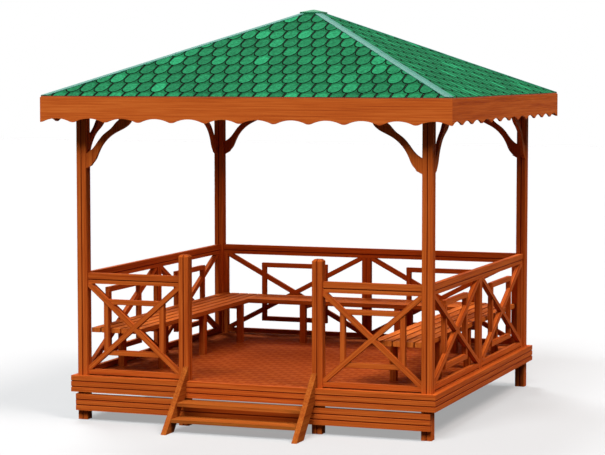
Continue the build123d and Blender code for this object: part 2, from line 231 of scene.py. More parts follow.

# %% [markdown]
# The stain itself is three noises on the same squeezed place: broad patches where a board
# drinks more, streaks for the rings, and fibres. Together they pick a tone between a dark,
# a body and a light one. Fascias, benches, steps and roof timbers each have their own
# three:
# the fascias and seats lighter as painted light, the steps and roof timbers darker as
# painted shade.

# %% A stain for timber that runs along any direction
STREAK_WIDTH = 0.009
FIBRE_WIDTH = 0.003          # real fibres are finer, but these can still be seen
BOARD_PATCH = 0.045
FIBRE_SHARE = 0.3
PATCH_SHARE = 0.25
RIDGE = 0.0006               # height of the ridges in its grain
PLANED = 0.6                 # roughness of planed wood under a thin stain
DULL = 0.01                  # its specular level, as it hardly shines


def stained_pine(name, flow, tones, shade_mask=None):
    """Stained pine with its grain along flow. tones are dark, body and light hex values,
    and shade_mask gives where painted shade darkens it, in grooves or along edges.
    """
    made, tree, shader = new_material(name)
    if flow == "uv":
        place = add(tree, "ShaderNodeUVMap", uv_map="Grain").outputs[0]
    else:
        place = add(tree, "ShaderNodeTexCoord").outputs["Object"]
    if flow == "roof":
        place = roof_place(tree, place)
    squeezed = stretch(tree, place, flow)
    drift = add(tree, "ShaderNodeTexNoise",
                {"Vector": squeezed, "Scale": 1 / BOARD_PATCH, "Detail": 1.0})
    streaks = add(tree, "ShaderNodeTexNoise",
                  {"Vector": squeezed, "Scale": 1 / STREAK_WIDTH, "Detail": 3.0,
                   "Roughness": 0.6, "Distortion": 0.1})
    fibres = add(tree, "ShaderNodeTexNoise",
                 {"Vector": squeezed, "Scale": 1 / FIBRE_WIDTH, "Detail": 2.0})
    both = add(tree, "ShaderNodeMix", {"Factor": FIBRE_SHARE,
                                       "A": streaks.outputs["Fac"],
                                       "B": fibres.outputs["Fac"]}).outputs["Result"]
    mixed = add(tree, "ShaderNodeMix", {"Factor": PATCH_SHARE, "A": both,
                                        "B": drift.outputs["Fac"]}).outputs["Result"]
    wood = add(tree, "ShaderNodeValToRGB", {"Fac": mixed},
               tuple(zip(GRAIN_STOPS, tones))).outputs["Color"]
    # Painted shade, mixed in where shade_mask says: in grooves or along edges.
    if shade_mask:
        wood = add(tree, "ShaderNodeMix", {"Factor": shade_mask(tree, place), "A": wood,
                                           "B": paint(PAINTED_SHADE_COLOUR)},
                   data_type="RGBA").outputs["Result"]
    tree.links.new(wood, shader.inputs["Base Color"])
    bump = add(tree, "ShaderNodeBump", {"Height": both, "Strength": 0.25,
                                        "Distance": RIDGE})
    tree.links.new(bump.outputs[0], shader.inputs["Normal"])
    shader.inputs["Roughness"].default_value = PLANED
    shader.inputs["Specular IOR Level"].default_value = DULL
    return made


STAIN = ("#8C3711", "#B2531D", "#C66A2B")
# Lit and shaded copies of STAIN: fascias and seats are painted lighter (painted light),
# steps and roof timbers darker (painted shade).
LIT_FASCIA_TONES = ("#933C17", "#B95921", "#CD7030")
LIT_BENCH_TONES = ("#974115", "#BD6123", "#CF7934")
SHADED_STEP_TONES = ("#74330F", "#934B1A", "#A46126")
SHADED_ROOF_TONES = ("#6E2A0F", "#8F421A", "#A65724")
GRAIN_STOPS = (0.34, 0.50, 0.66)     # where the dark, body and light tones stand
pine = {flow: stained_pine(f"stained_pine_{flow}", flow, STAIN) for flow in "yz"}
pine["fascia_x"] = stained_pine("stained_pine_fascia_x", "x", LIT_FASCIA_TONES)
pine["fascia_y"] = stained_pine("stained_pine_fascia_y", "y", LIT_FASCIA_TONES)
# These carry painted shade in their grooves or along the edges of their bars.
pine["x_grooved"] = stained_pine("stained_pine_x_grooved", "x", STAIN, level_lines)
pine["y_grooved"] = stained_pine("stained_pine_y_grooved", "y", STAIN, level_lines)
pine["post"] = stained_pine("stained_pine_posts", "z", STAIN, post_lines)
pine["step"] = stained_pine("stained_pine_strings", "y", SHADED_STEP_TONES)
pine["tread"] = stained_pine("stained_pine_treads", "x", SHADED_STEP_TONES)
pine["uv"] = stained_pine("stained_pine_bars", "uv", STAIN, arrises)
pine["bench"] = stained_pine("stained_pine_seat", "uv", LIT_BENCH_TONES, arrises)
pine["roof"] = stained_pine("stained_pine_roof", "roof", SHADED_ROOF_TONES)
print("stains:", sorted(pine))

# %% [markdown]
# ## Which way the grain runs
# A joiner saws every length with the grain along it, because short grain snaps. Rails,
# boards and treads of the front and back run across, those of the two sides run from front
# to back, and posts and legs stand upright. Rafters run up the slope. The eaves beam and
# the hip rafters, which are seen only from below, share their stain and its direction.

# %% Stain the frame
FLOWS = {
    "fascia_x": ("fascia_front", "fascia_back"),
    "fascia_y": ("fascia_left", "fascia_right"),
    "tread": ("step_treads",),
    "x_grooved": ("rim_front", "rim_back", "front_skirt", "handrail_front",
                  "handrail_back"),
    "y": ("floor_joists",),
    "step": ("step_stringers",),
    "y_grooved": ("rim_left", "rim_right", "handrail_left", "handrail_right"),
    "z": ("bench_legs", "king_block", "brackets_front_left", "brackets_front_right",
          "brackets_back_left", "brackets_back_right"),
    "post": ("post_front_left", "post_front_right", "post_back_left",
             "post_back_right", "newels"),
    "roof": ("rafters", "hip_rafters", "eaves_beam"),
}
for flow, names in FLOWS.items():
    for name in names:
        finish_node(name, pine[flow])
print(sum(len(names) for names in FLOWS.values()), "nodes stained")

# %% [markdown]
# ## The floor
# The floor is laid in short, narrow blocks, end to end from front to back, and each row
# starts nearly a third of a block on from the last. Each block drinks the stain a little
# differently, and its sawn ends drink far more than its faces, so the ends are the darkest.

# %% Block floor
BLOCK_LENGTH = 0.147
BLOCK_WIDTH = 0.071
ROW_STEP = -0.3              # of a block, from one row to the next
DARK_END = 0.30              # of its length, over which the stain of its ends fades
DARK_SIDE = 0.12             # of its width, the same for its sides
BLOCK_FLOW = 0.1             # its grain is ten times longer than wide


def fade_in(tree, value, reach):
    """1 where value is 0, falling smoothly to 0 where it gets to reach."""
    return add(tree, "ShaderNodeMapRange",
               {"Value": value, "From Min": 0.0, "From Max": reach, "To Min": 1.0,
                "To Max": 0.0}, interpolation_type="SMOOTHSTEP").outputs["Result"]


def block_floor():
    """Short stained blocks. x over the width of a block counts the rows, and y over its
    length, plus a step for each row, counts the blocks in a row. The whole parts of the
    two pick a block's tone, and what is left over is how near a place is to its edges.
    """
    made, tree, shader = new_material("stained_pine_blocks")
    place = add(tree, "ShaderNodeTexCoord").outputs["Object"]
    split = add(tree, "ShaderNodeSeparateXYZ", {0: place}).outputs
    across = maths(tree, "DIVIDE", split[0], BLOCK_WIDTH)
    row = maths(tree, "FLOOR", across)
    along = maths(tree, "DIVIDE", split[1], BLOCK_LENGTH)
    along = maths(tree, "MULTIPLY_ADD", row, ROW_STEP, along)
    count = maths(tree, "FLOOR", along)
    block = add(tree, "ShaderNodeCombineXYZ", {0: row, 1: count}).outputs[0]
    draw = add(tree, "ShaderNodeTexWhiteNoise", {"Vector": block},
               noise_dimensions="2D").outputs["Value"]
    ends = maths(tree, "PINGPONG", along, 0.5)
    sides = maths(tree, "PINGPONG", across, 0.5)
    soaked = maths(tree, "MAXIMUM", fade_in(tree, ends, DARK_END),
                   fade_in(tree, sides, DARK_SIDE))
    short = add(tree, "ShaderNodeMapping", {"Vector": place,
                                            "Scale": (1, BLOCK_FLOW, 1)})
    grain = add(tree, "ShaderNodeTexNoise",
                {"Vector": short.outputs[0], "Scale": 1 / STREAK_WIDTH,
                 "Detail": 3.0}).outputs["Fac"]
    tone = add(tree, "ShaderNodeMix", {"Factor": 0.3, "A": grain, "B": draw},
               data_type="FLOAT")
    wood = add(tree, "ShaderNodeValToRGB", {"Fac": tone.outputs["Result"]},
               ((0.10, "#8E3E18"), (0.50, "#9B491C"), (0.90, "#A45322"))).outputs["Color"]
    joints = add(tree, "ShaderNodeMix",
                 {"Factor": soaked, "A": wood, "B": paint("#873410")},
                 data_type="RGBA").outputs["Result"]
    tree.links.new(joints, shader.inputs["Base Color"])
    bump = add(tree, "ShaderNodeBump", {"Height": soaked, "Strength": 0.3,
                                        "Distance": 0.001}, invert=True)
    tree.links.new(bump.outputs[0], shader.inputs["Normal"])
    shader.inputs["Roughness"].default_value = 0.7
    shader.inputs["Specular IOR Level"].default_value = DULL
    return made


finish_node("floor_deck", block_floor())
print("one block is", BLOCK_LENGTH, "by", BLOCK_WIDTH, "m")

# %% [markdown]
# ## Roof boards
# The roof boards carry black-green underlay felt on top, and it shows as dark lines in the
# slots between the shingles. From inside the gazebo the same pieces are a plain boarded
# ceiling. The felt goes wherever the surface faces up.

# %% Felt above, boards below
CEILING_BOARD = 0.19
CEILING_JOINT = 0.003        # half of the dark line between two boards


def roof_boards():
    """Underlay felt on faces that look up, and elsewhere stained boards, dark between."""
    made, tree, shader = new_material("underlay_felt_on_pine_boards")
    place = roof_place(tree, add(tree, "ShaderNodeTexCoord").outputs["Object"])
    grain = add(tree, "ShaderNodeTexNoise",
                {"Vector": stretch(tree, place, "y"), "Scale": 1 / STREAK_WIDTH,
                 "Detail": 3.0}).outputs["Fac"]
    # The boards take the darker roof tones, painted shade for timber in the dark under the
    # roof.
    wood = add(tree, "ShaderNodeValToRGB", {"Fac": grain},
               tuple(zip(GRAIN_STOPS, SHADED_ROOF_TONES))).outputs["Color"]
    out = add(tree, "ShaderNodeSeparateXYZ", {0: place}).outputs[0]
    cut = maths(tree, "PINGPONG", out, CEILING_BOARD / 2)
    joint = maths(tree, "LESS_THAN", cut, CEILING_JOINT)
    boards = add(tree, "ShaderNodeMix", {"Factor": joint, "A": wood,
                                         "B": paint("#2A0F06")}, data_type="RGBA")
    facing = add(tree, "ShaderNodeNewGeometry").outputs["Normal"]
    up = add(tree, "ShaderNodeSeparateXYZ", {0: facing}).outputs[2]
    above = maths(tree, "GREATER_THAN", up, 0.5)
    both = add(tree, "ShaderNodeMix",
               {"Factor": above, "A": boards.outputs["Result"],
                "B": paint("#0B2A1B")}, data_type="RGBA")
    tree.links.new(both.outputs["Result"], shader.inputs["Base Color"])
    shader.inputs["Roughness"].default_value = 0.8
    return made


felt_and_boards = roof_boards()
for side in SIDES:
    finish_node(f"roof_{side}", felt_and_boards)
print("boards of", CEILING_BOARD, "m under felt on", len(SIDES), "slopes")

# %% [markdown]
# ## A mesh from arrays
# Every new piece below is worked out as whole numpy arrays of corners and faces, and handed
# to Blender in one go. That is quick, and the shape stays a formula that can be read.

# %% One function that makes a piece
def make_piece(name, corners, faces, material, layers=()):
    """A piece from corners (n, 3) and faces (m, k), with UV layers given per corner."""
    mesh = bpy.data.meshes.new(name)
    mesh.from_pydata(corners.tolist(), [], [face.tolist() for face in faces])
    loops = np.empty(len(mesh.loops), dtype=np.int32)
    mesh.loops.foreach_get("vertex_index", loops)
    for layer, places in dict(layers).items():
        uv = mesh.uv_layers.new(name=layer)
        uv.uv.foreach_set("vector", places[loops].astype(np.float32).ravel())
    mesh.materials.append(material)
    mesh.update()
    piece = bpy.data.objects.new(name, mesh)
    bpy.context.scene.collection.objects.link(piece)
    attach(piece, "root")
    print(name, len(corners), "corners,", len(faces), "faces")
    return piece


def turned(points, quarter):
    """Turns points (n, 3) of the front about the plan's centre by quarter turns."""
    x, y, z = points.T
    for _ in range(quarter):
        x, y = -y, x
    return np.stack((x, y + MIDDLE, z), axis=1)


print("(1, 0, 0) after one turn:", turned(np.array([[1.0, 0.0, 0.0]]), 1)[0].round(3))

# %% [markdown]
# ## Bars of timber
# The lattice and the seats are made of plain bars. A carpenter planes them square, breaks
# the sharp edges with a few strokes, and cuts the ends of a brace to fit its corner. One
# function makes them all: a section with eased edges is swept along each bar, and every
# point of the section slides along until it meets the opening that the bar is fitted to.
# A UV layer keeps the way along the bar and round it, so that the grain follows each bar
# whichever way it leans, which a pattern in space can't do for a crossed pair.

# %% Sweep many bars at once
EASED = 0.003
SIDE = np.array((-1, -1, -1, 0, 1, 1, 1))        # from one edge of a face to the other
INWARD = np.array((0, 0.3, 1, 0, -1, -0.3, 0))
DROP = np.array((1, 0.3, 0, 0, 0, 0.3, 1))
POINTS = len(SIDE)           # on one face; a section is two faces
GRAIN_SPREAD = 8             # metres of pattern from which each bar takes its own grain
FLAT = 1e-6                  # below this a bar runs along that edge of its opening


def sweep_bars(bars, draw):
    """bars has rows of middle (p, q), direction (p, q), width, front, depth, and the
    opening's low p, high p, low q, high q. p and q span the panel and front faces out.
    A point at a sideways distance a lies on middle + a * side + t * direction, and t ends
    where that line first leaves the opening.
    """
    middle, way = bars[:, 0:2], bars[:, 2:4]
    way = way / np.linalg.norm(way, axis=1, keepdims=True)
    width, front, depth = bars[:, 4:5], bars[:, 5:6], bars[:, 6:7]
    aside = width / 2 * SIDE + EASED * INWARD
    side = np.stack((-way[:, 1], way[:, 0]), axis=1)
    start = middle[:, None, :] + aside[:, :, None] * side[:, None, :]
    with np.errstate(divide="ignore", invalid="ignore"):
        low = (bars[:, None, (7, 9)] - start) / way[:, None, :]
        high = (bars[:, None, (8, 10)] - start) / way[:, None, :]
    flat = np.abs(way[:, None, :]) < FLAT
    far = np.where(flat, np.inf, np.maximum(low, high)).min(2)
    near = np.where(flat, -np.inf, np.minimum(low, high)).max(2)
    sides = []
    for reach in (near, far):
        place = start + reach[:, :, None] * way[:, None, :]
        face = np.concatenate((place, (front - EASED * DROP)[:, :, None]), axis=2)
        rear = np.concatenate((place, (front - depth + EASED * DROP)[:, :, None]),
                              axis=2)
        sides.append(np.concatenate((face, rear[:, ::-1]), axis=1))
    corners = np.concatenate(sides, axis=1)
    shift = draw.random((len(bars), 2, 1)) * GRAIN_SPREAD
    rear_aside = (aside * (1 + 2 * depth / width))[:, ::-1]
    round_bar = np.concatenate((aside, rear_aside), axis=1)
    grain = [np.stack((np.concatenate((t, t[:, ::-1]), axis=1) + shift[:, 0],
                       round_bar + shift[:, 1]), axis=2) for t in (near, far)]
    across = np.concatenate((aside, aside[:, ::-1]), axis=1) / (width / 2)
    deep = np.concatenate((np.ones(POINTS), -np.ones(POINTS)))[None] + 0 * across
    section = np.tile(np.stack((across, deep), axis=2), (1, 2, 1))
    n = 2 * POINTS
    i = np.arange(n)
    walls = np.stack((i, i + n, (i + 1) % n + n, (i + 1) % n), axis=1)
    j = np.arange(POINTS - 1)
    cap = np.stack((j, j + 1, n - 2 - j, n - 1 - j), axis=1)
    one = np.concatenate((walls, cap, cap[:, ::-1] + n))
    faces = one[None] + (np.arange(len(bars)) * 2 * n)[:, None, None]
    return (corners.reshape(-1, 3), faces.reshape(-1, 4),
            {"Grain": np.concatenate(grain, axis=1).reshape(-1, 2),
             "Section": section.reshape(-1, 2)})


print("each section has", 2 * POINTS, "points")

# %% [markdown]
# ## Lattice panels
# Under each handrail hang panels of the same pattern: a bottom rail, a rectangle of four
# bars, and a cross in front of it that reaches into the corners. The front has one panel
# on each side of the entrance. The other sides have two, framed by stiles. Each bar is
# made by itself, as a joiner does, so its grain follows it and its edges catch the stain.

# %% Build the panels
STILE = 0.045
RAIL_SET = 0.0225            # behind the outer face of the posts
BAR = 0.044
BAR_DEPTH = 0.042
CROSS_SET = 0.020
FRAME_SET = 0.028
RAIL_LIFT = 0.008
RAIL_DEPTH = 0.044
FLUSH = 0.0004               # keeps one brace of a cross just behind the other
FRONT_RECTANGLE = (0.557, 0.477, 0.795)      # width, height, height of its middle
SIDE_RECTANGLE = (0.674, 0.572, 0.799)


def panel_bars(left, right, rectangle, stile):
    """Rows for sweep_bars: one panel between two uprights, seen from outside."""
    frame_width, frame_height, frame_middle = rectangle
    low = FLOOR_TOP + RAIL_LIFT + RAIL_DEPTH
    middle = (left + right) / 2
    a, b = left + stile, right - stile
    rows = [(middle, low - RAIL_DEPTH / 2, 1, 0, RAIL_DEPTH, POST_FACE - RAIL_SET, STILE,
             a, b, low - RAIL_DEPTH, low)]
    for x in (left + stile / 2, right - stile / 2) if stile else ():
        rows.append((x, low, 0, 1, stile, POST_FACE - RAIL_SET, STILE,
                     x - stile / 2, x + stile / 2, FLOOR_TOP, HANDRAIL_UNDER))
    w, h = frame_width / 2, frame_height / 2
    for sign in (-1, 1):
        z = frame_middle + sign * (h - BAR / 2)
        rows.append((middle, z, 1, 0, BAR, POST_FACE - FRAME_SET, BAR_DEPTH,
                     middle - w, middle + w, z - BAR / 2, z + BAR / 2))
        x = middle + sign * (w - BAR / 2)
        rows.append((x, frame_middle, 0, 1, BAR, POST_FACE - FRAME_SET, BAR_DEPTH,
                     x - BAR / 2, x + BAR / 2, frame_middle - h + BAR,
                     frame_middle + h - BAR))
        back = FLUSH * (1 - sign) / 2
        rows.append((middle, (low + HANDRAIL_UNDER) / 2, b - a,
                     sign * (HANDRAIL_UNDER - low), BAR, POST_FACE - CROSS_SET - back,
                     BAR_DEPTH - 2 * back, a, b, low, HANDRAIL_UNDER))
    return rows


def upright(points, quarter):
    """From (along, up, out) of a side to the frame, for panels that stand."""
    along, up, out = points.T
    return turned(np.stack((along, -out, up), axis=1), quarter)


draw = np.random.default_rng(3)
for quarter, name in enumerate(("panels_front", "panel_right", "panel_back",
                                "panel_left")):
    if quarter == 0:
        rows = (panel_bars(-INNER, -NEWEL_FACE, FRONT_RECTANGLE, 0)
                + panel_bars(NEWEL_FACE, INNER, FRONT_RECTANGLE, 0))
    else:
        rows = (panel_bars(-INNER, 0, SIDE_RECTANGLE, STILE)
                + panel_bars(0, INNER, SIDE_RECTANGLE, STILE))
    corners, faces, layers = sweep_bars(np.array(rows, dtype=float), draw)
    piece = make_piece(f"lattice_{name}", upright(corners, quarter), faces, pine["uv"],
                       layers)
    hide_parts(name)

# %% [markdown]
# ## Seats
# Each seat is five thick boards with gaps between them that let the rain through. The
# same function sweeps them, so each board has eased edges and a grain of its own.

# %% Lay the seat boards
SEAT_DEPTH = 0.451
SEAT_BOARDS = 5
SEAT_GAP = 0.012
SEAT_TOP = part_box("bench_back")[1].z
SEAT_THICK = SEAT_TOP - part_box("bench_back")[0].z


def seat_rows(half):
    """Rows for sweep_bars: boards along p, side by side in q, with their tops out."""
    board = (SEAT_DEPTH - (SEAT_BOARDS - 1) * SEAT_GAP) / SEAT_BOARDS
    q = -INNER + board / 2 + np.arange(SEAT_BOARDS) * (board + SEAT_GAP)
    one = np.ones(SEAT_BOARDS)
    return np.stack((0 * one, q, one, 0 * one, board * one, SEAT_TOP * one,
                     SEAT_THICK * one, -half * one, half * one, q - board / 2,
                     q + board / 2), axis=1)


for quarter, name in ((1, "bench_right"), (2, "bench_back"), (3, "bench_left")):
    half = INNER - SEAT_DEPTH if quarter == 2 else INNER
    corners, faces, layers = sweep_bars(seat_rows(half), draw)
    piece = make_piece(f"seat_{name}", turned(corners, quarter), faces,
                       pine["bench"], layers)
    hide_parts(name)

# %% [markdown]
# ## Felt shingles
# The roof is covered with beaver-tail shingles: bitumen felt, faced with crushed green
# stone, with a rounded lower edge. Each course covers the top of the one below and steps
# half a tab sideways, so that no joint lies over another. A sheet with a painted pattern
# would look flat at the eaves, so every tab is its own thin body, tilted by the course that
# it lies on. Tabs are cut along the hips and the eaves, as a roofer does. On the right
# slope the whole pattern is laid askew, turned by 20 degrees to the eaves, so seen from
# the front its joints read as rows of short slanting dashes.

# %% One tab and where it is cut
TAB_WIDTH = 0.129                # from one tab to the next
TAB_GAP = 0.004                  # left open out of it
TAB_ROUND = 0.082
COURSE = 0.1925
FIRST_COURSE = 0.076 - COURSE    # its lower part is cut off at the eaves
COURSES = 10
SPARE_COURSES = 4                # below the eaves, for the slope whose pattern is askew
TABS_ASIDE = 17                  # on each side of the middle
RIGHT_ASKEW = np.radians(-20)    # 0 lays that slope's courses level too
FINE_LINES = 65                  # across a tab, to find where a hip cuts it
LEAST_TAB = 0.0005               # a line with less of the tab left on it is outside
FIRST_TAB = -0.008
HEAD_LAP = 0.09
TAB_LIFT = 0.0036                # top of a tab's lower edge above the boards
TAB_THICK = 0.0020
HEAD_LIFT = 0.0004               # the least height of a tab's top and underside
HEAD_FLOOR = 0.0001
ACROSS = np.array((-1, -0.95, -0.8, -0.5, 0, 0.5, 0.8, 0.95, 1))


def tab_edges(p, middle, tip, askew):
    """Both ends of a tab at the places p across it, up the pattern. The lower end is half
    an ellipse, round * (1 - sqrt(1 - u^2)), or the eaves where they are higher. The upper
    is straight, or the hip or the slope's top where that is lower. Place (p, q) in the
    pattern is over = p cos - (q - centre) sin, along = p sin + (q - centre) cos + centre.
    """
    cos, sin, centre = np.cos(askew), np.sin(askew), SLOPE_LENGTH / 2
    slant = np.hypot(1, PITCH)
    u = np.clip((p - middle) / ((TAB_WIDTH - TAB_GAP) / 2), -1, 1)
    low = np.maximum(tip + TAB_ROUND * (1 - np.sqrt(1 - u**2)),
                     centre - (p * sin + centre) / cos)
    high = np.minimum(tip + COURSE + HEAD_LAP, centre + (centre - p * sin) / cos)
    for hand in (1, -1):
        reach = EAVE - hand * p * cos - (p * sin + centre) / slant
        high = np.minimum(high, centre + reach / (cos / slant - hand * sin))
    return low, high


def shingle_faces():
    """Faces of one tab, whose corners come as top then bottom, each lower then upper."""
    n = len(ACROSS)
    i = np.arange(n - 1)
    top = np.stack((i, i + 1, i + 1 + n, i + n), axis=1)
    bottom = top[:, ::-1] + 2 * n
    butt = np.stack((i + 2 * n, i + 1 + 2 * n, i + 1, i), axis=1)
    head = np.stack((i + n, i + 1 + n, i + 1 + 3 * n, i + 3 * n), axis=1)
    left = np.array([[0, n, 3 * n, 2 * n]])
    right = np.array([[n - 1, 3 * n - 1, 4 * n - 1, 2 * n - 1]])
    return np.concatenate((top, bottom, butt, head, left, right))


print("tabs every", TAB_WIDTH, "m, courses every", COURSE, "m")

# %% [markdown]
# A slope is laid in one go, as a grid of courses and tabs that is bigger than the slope.
# What lies outside is left off. The rest becomes one mesh of loose tabs, because nobody
# ever moves a single shingle, and hundreds of objects would only be slow.

# %% Lay a slope
def lay_slope(quarter, draw, askew):
    """All tabs of one slope at once: course k, tab j. Height falls evenly up each tab.
    What the eaves and hips leave of a tab is found on fine lines across it, and the tab's
    own lines then spread over that width, so its cut edge lies along the hip.
    """
    k, j = np.meshgrid(np.arange(-SPARE_COURSES, COURSES),
                       np.arange(-TABS_ASIDE, TABS_ASIDE + 1), indexing="ij")
    k, j = k.ravel()[:, None], j.ravel()[:, None]
    tip = FIRST_COURSE + COURSE * k
    middle = FIRST_TAB + TAB_WIDTH * (j + 0.5 * ((k + 1) % 2))
    fine = middle + np.linspace(-1, 1, FINE_LINES) * (TAB_WIDTH - TAB_GAP) / 2
    low, high = tab_edges(fine, middle, tip, askew)
    whole = high - low > LEAST_TAB
    first, last = whole.argmax(1), FINE_LINES - 1 - whole[:, ::-1].argmax(1)
    start = np.take_along_axis(fine, first[:, None], 1)
    end = np.take_along_axis(fine, last[:, None], 1)
    kept = whole.any(1) & (end - start > TAB_GAP)[:, 0]
    p = start + (end - start) * (ACROSS + 1) / 2
    q = np.concatenate(tab_edges(p, middle, tip, askew), axis=1)
    p = np.concatenate((p, p), axis=1)
    cos, sin, centre = np.cos(askew), np.sin(askew), SLOPE_LENGTH / 2
    run = (p * sin + (q - centre) * cos + centre) / np.hypot(1, PITCH)
    over = p * cos - (q - centre) * sin
    fall = (TAB_LIFT - TAB_THICK) / COURSE
    lift = np.clip(TAB_LIFT - fall * (q - tip), HEAD_LIFT, TAB_LIFT)
    floor = np.clip(lift - TAB_THICK, HEAD_FLOOR, None)
    lean = np.arctan(PITCH)
    layers = []
    for height in (lift, floor):
        layers.append(np.stack((over, -EAVE + run - height * np.sin(lean),
                                EAVE_TOP + run * PITCH + height * np.cos(lean)), axis=2))
    corners = np.concatenate(layers, axis=1)[kept]
    count, per = corners.shape[:2]
    shape = np.stack(((p - middle) / (TAB_WIDTH / 2),
                      (TAB_ROUND - q + tip) / TAB_ROUND), axis=2)[kept]
    shape = np.concatenate((shape, shape), axis=1)
    tone = np.repeat(draw.random((len(kept), 1, 2))[kept], per, axis=1)
    faces = shingle_faces()[None] + (np.arange(count) * per)[:, None, None]
    return (turned(corners.reshape(-1, 3), quarter), faces.reshape(-1, 4),
            {"Tab": shape.reshape(-1, 2), "Tone": tone.reshape(-1, 2)})


# %% [markdown]
# The stone facing is what the eye reads: a green field that differs from tab to tab, a
# dark band along each edge, and grit of a few millimetres that breaks up the light. The
# band is partly printed darker stone and partly painted shadow, widest at the rounded end,
# where a tab shades the one below. Round a pale oval the field is darkened as painted
# shade, where the tabs above shade it. The place on the tab is kept in a UV layer, so the
# band and the oval are
# formulas too: the distance from the middle as a share of the outline.

# %% Crushed green stone on felt
GRIT = 0.006                 # coarser than real grains of stone, so that it shows
CLOUD = 0.022                # patches where more or less of the stone has stuck
OVAL_HALF = 0.097            # half the height of the pale oval on each tab
OVAL_SCALE = TAB_ROUND / OVAL_HALF
OVAL_SHIFT = 1 - OVAL_SCALE
# The dark rim is partly printed stone; its widening, most at the rounded end, is painted
# shadow of a tab's edge on the one below.
SIDE_RIM = 0.07              # how much the dark rim widens at the sides of a tab
LOWER_RIM = 0.05             # and at its rounded end


def green_felt():
    """Stone-faced felt: tone by tab, a dark rim by the outline's formula, and grit."""
    made, tree, shader = new_material("stone_faced_bitumen_felt")
    tab = add(tree, "ShaderNodeUVMap", uv_map="Tab").outputs[0]
    tone = add(tree, "ShaderNodeUVMap", uv_map="Tone").outputs[0]
    split = add(tree, "ShaderNodeSeparateXYZ", {0: tab}).outputs
    down = maths(tree, "MAXIMUM", split[1], 0.0)
    flat = add(tree, "ShaderNodeCombineXYZ", {0: split[0], 1: down})
    edge = add(tree, "ShaderNodeVectorMath", {0: flat.outputs[0]},
               operation="LENGTH").outputs["Value"]
    place = add(tree, "ShaderNodeTexCoord").outputs["Object"]
    grit = add(tree, "ShaderNodeTexNoise", {"Vector": place, "Scale": 1 / GRIT,
                                            "Detail": 2.0}).outputs["Fac"]
    cloud = add(tree, "ShaderNodeTexNoise", {"Vector": place, "Scale": 1 / CLOUD,
                                             "Detail": 2.0}).outputs["Fac"]
    speck = add(tree, "ShaderNodeMix", {"Factor": 0.5, "A": grit, "B": cloud})
    pick = add(tree, "ShaderNodeSeparateXYZ", {0: tone}).outputs[0]
    tint = add(tree, "ShaderNodeValToRGB", {"Fac": pick},
               ((0.0, "#20714B"), (0.60, "#237E53"), (0.90, "#278A5C"),
                (0.96, "#2C9A68"), (1.0, "#2C9A68"))).outputs["Color"]
    shade = add(tree, "ShaderNodeValToRGB", {"Fac": speck.outputs["Result"]},
                ((0.32, "#8E8E8E"), (0.68, "#FFFFFF"))).outputs["Color"]
    field = add(tree, "ShaderNodeMix", {"Factor": 1.0, "A": tint, "B": shade},
                data_type="RGBA", blend_type="MULTIPLY").outputs["Result"]
    # Painted shade: the field darkens round a pale oval on each tab, where the tabs above
    # shade it.
    oval = add(tree, "ShaderNodeMapping", {"Vector": tab, "Location": (0, OVAL_SHIFT, 0),
                                           "Scale": (1.05, OVAL_SCALE, 0)}).outputs[0]
    away = add(tree, "ShaderNodeVectorMath", {0: oval}, operation="LENGTH")
    oval_shade = add(tree, "ShaderNodeValToRGB", {"Fac": away.outputs["Value"]},
                  ((0.0, "#F2F2F2"), (0.82, "#FFFFFF"), (0.98, "#CDD8D2"),
                   (1.0, "#C0CCC5"))).outputs["Color"]
    # The dark rim: partly a printed band of darker stone, partly painted shadow, wider at
    # the sides and at the rounded lower end.
    aside = maths(tree, "ABSOLUTE", split[0])
    lower = maths(tree, "MULTIPLY_ADD", split[1], 1.5, 0.2, use_clamp=True)
    spread = maths(tree, "MULTIPLY_ADD", aside, SIDE_RIM, edge)
    spread = maths(tree, "MULTIPLY_ADD", lower, LOWER_RIM, spread)
    rim = add(tree, "ShaderNodeValToRGB", {"Fac": spread},
              ((0.0, "#FFFFFF"), (0.87, "#FFFFFF"), (0.92, "#0A3318"),
               (1.0, "#042210"))).outputs["Color"]
    whole = field
    for share in (oval_shade, rim):
        whole = add(tree, "ShaderNodeMix", {"Factor": 1.0, "A": whole, "B": share},
                    data_type="RGBA", blend_type="MULTIPLY").outputs["Result"]
    tree.links.new(whole, shader.inputs["Base Color"])
    bump = add(tree, "ShaderNodeBump", {"Height": grit, "Strength": 0.4,
                                        "Distance": 0.001})
    tree.links.new(bump.outputs[0], shader.inputs["Normal"])
    shader.inputs["Roughness"].default_value = 0.9
    shader.inputs["Specular IOR Level"].default_value = 0.02
    return made


felt = green_felt()
draw = np.random.default_rng(7)
for quarter, side in enumerate(SIDES):
    askew = RIGHT_ASKEW if side == "right" else 0.0
    corners, faces, layers = lay_slope(quarter, draw, askew)
    print(f"shingles_{side}: {len(corners) // (4 * len(ACROSS))} tabs")
    make_piece(f"shingles_{side}", corners, faces, felt, layers)

# %% [markdown]
# ## Hip flashing
# Where two slopes meet, the cut tabs would let the rain in, so a strip of green rubber is
# bonded over each hip. It comes in lengths, and each laps over the one below. A section
# carried up the hip gives it: two wings that lie on the slopes, a rounded fold on top and
# a thin pressed-down edge. The cap over the apex is a square lid of green painted timber.

# %% Fold the strips
WING = 0.041
STRIP_LIFT = 0.0048
STRIP_THICK = 0.0016
STRIP_LENGTH = 0.85
STRIP_LAP = 0.03
LAP_RISE = 0.0012
FOLD = 0.010
HEM = 0.003                  # how far the outermost edge is pressed down
WEAR = 0.05                  # size of a weathered patch


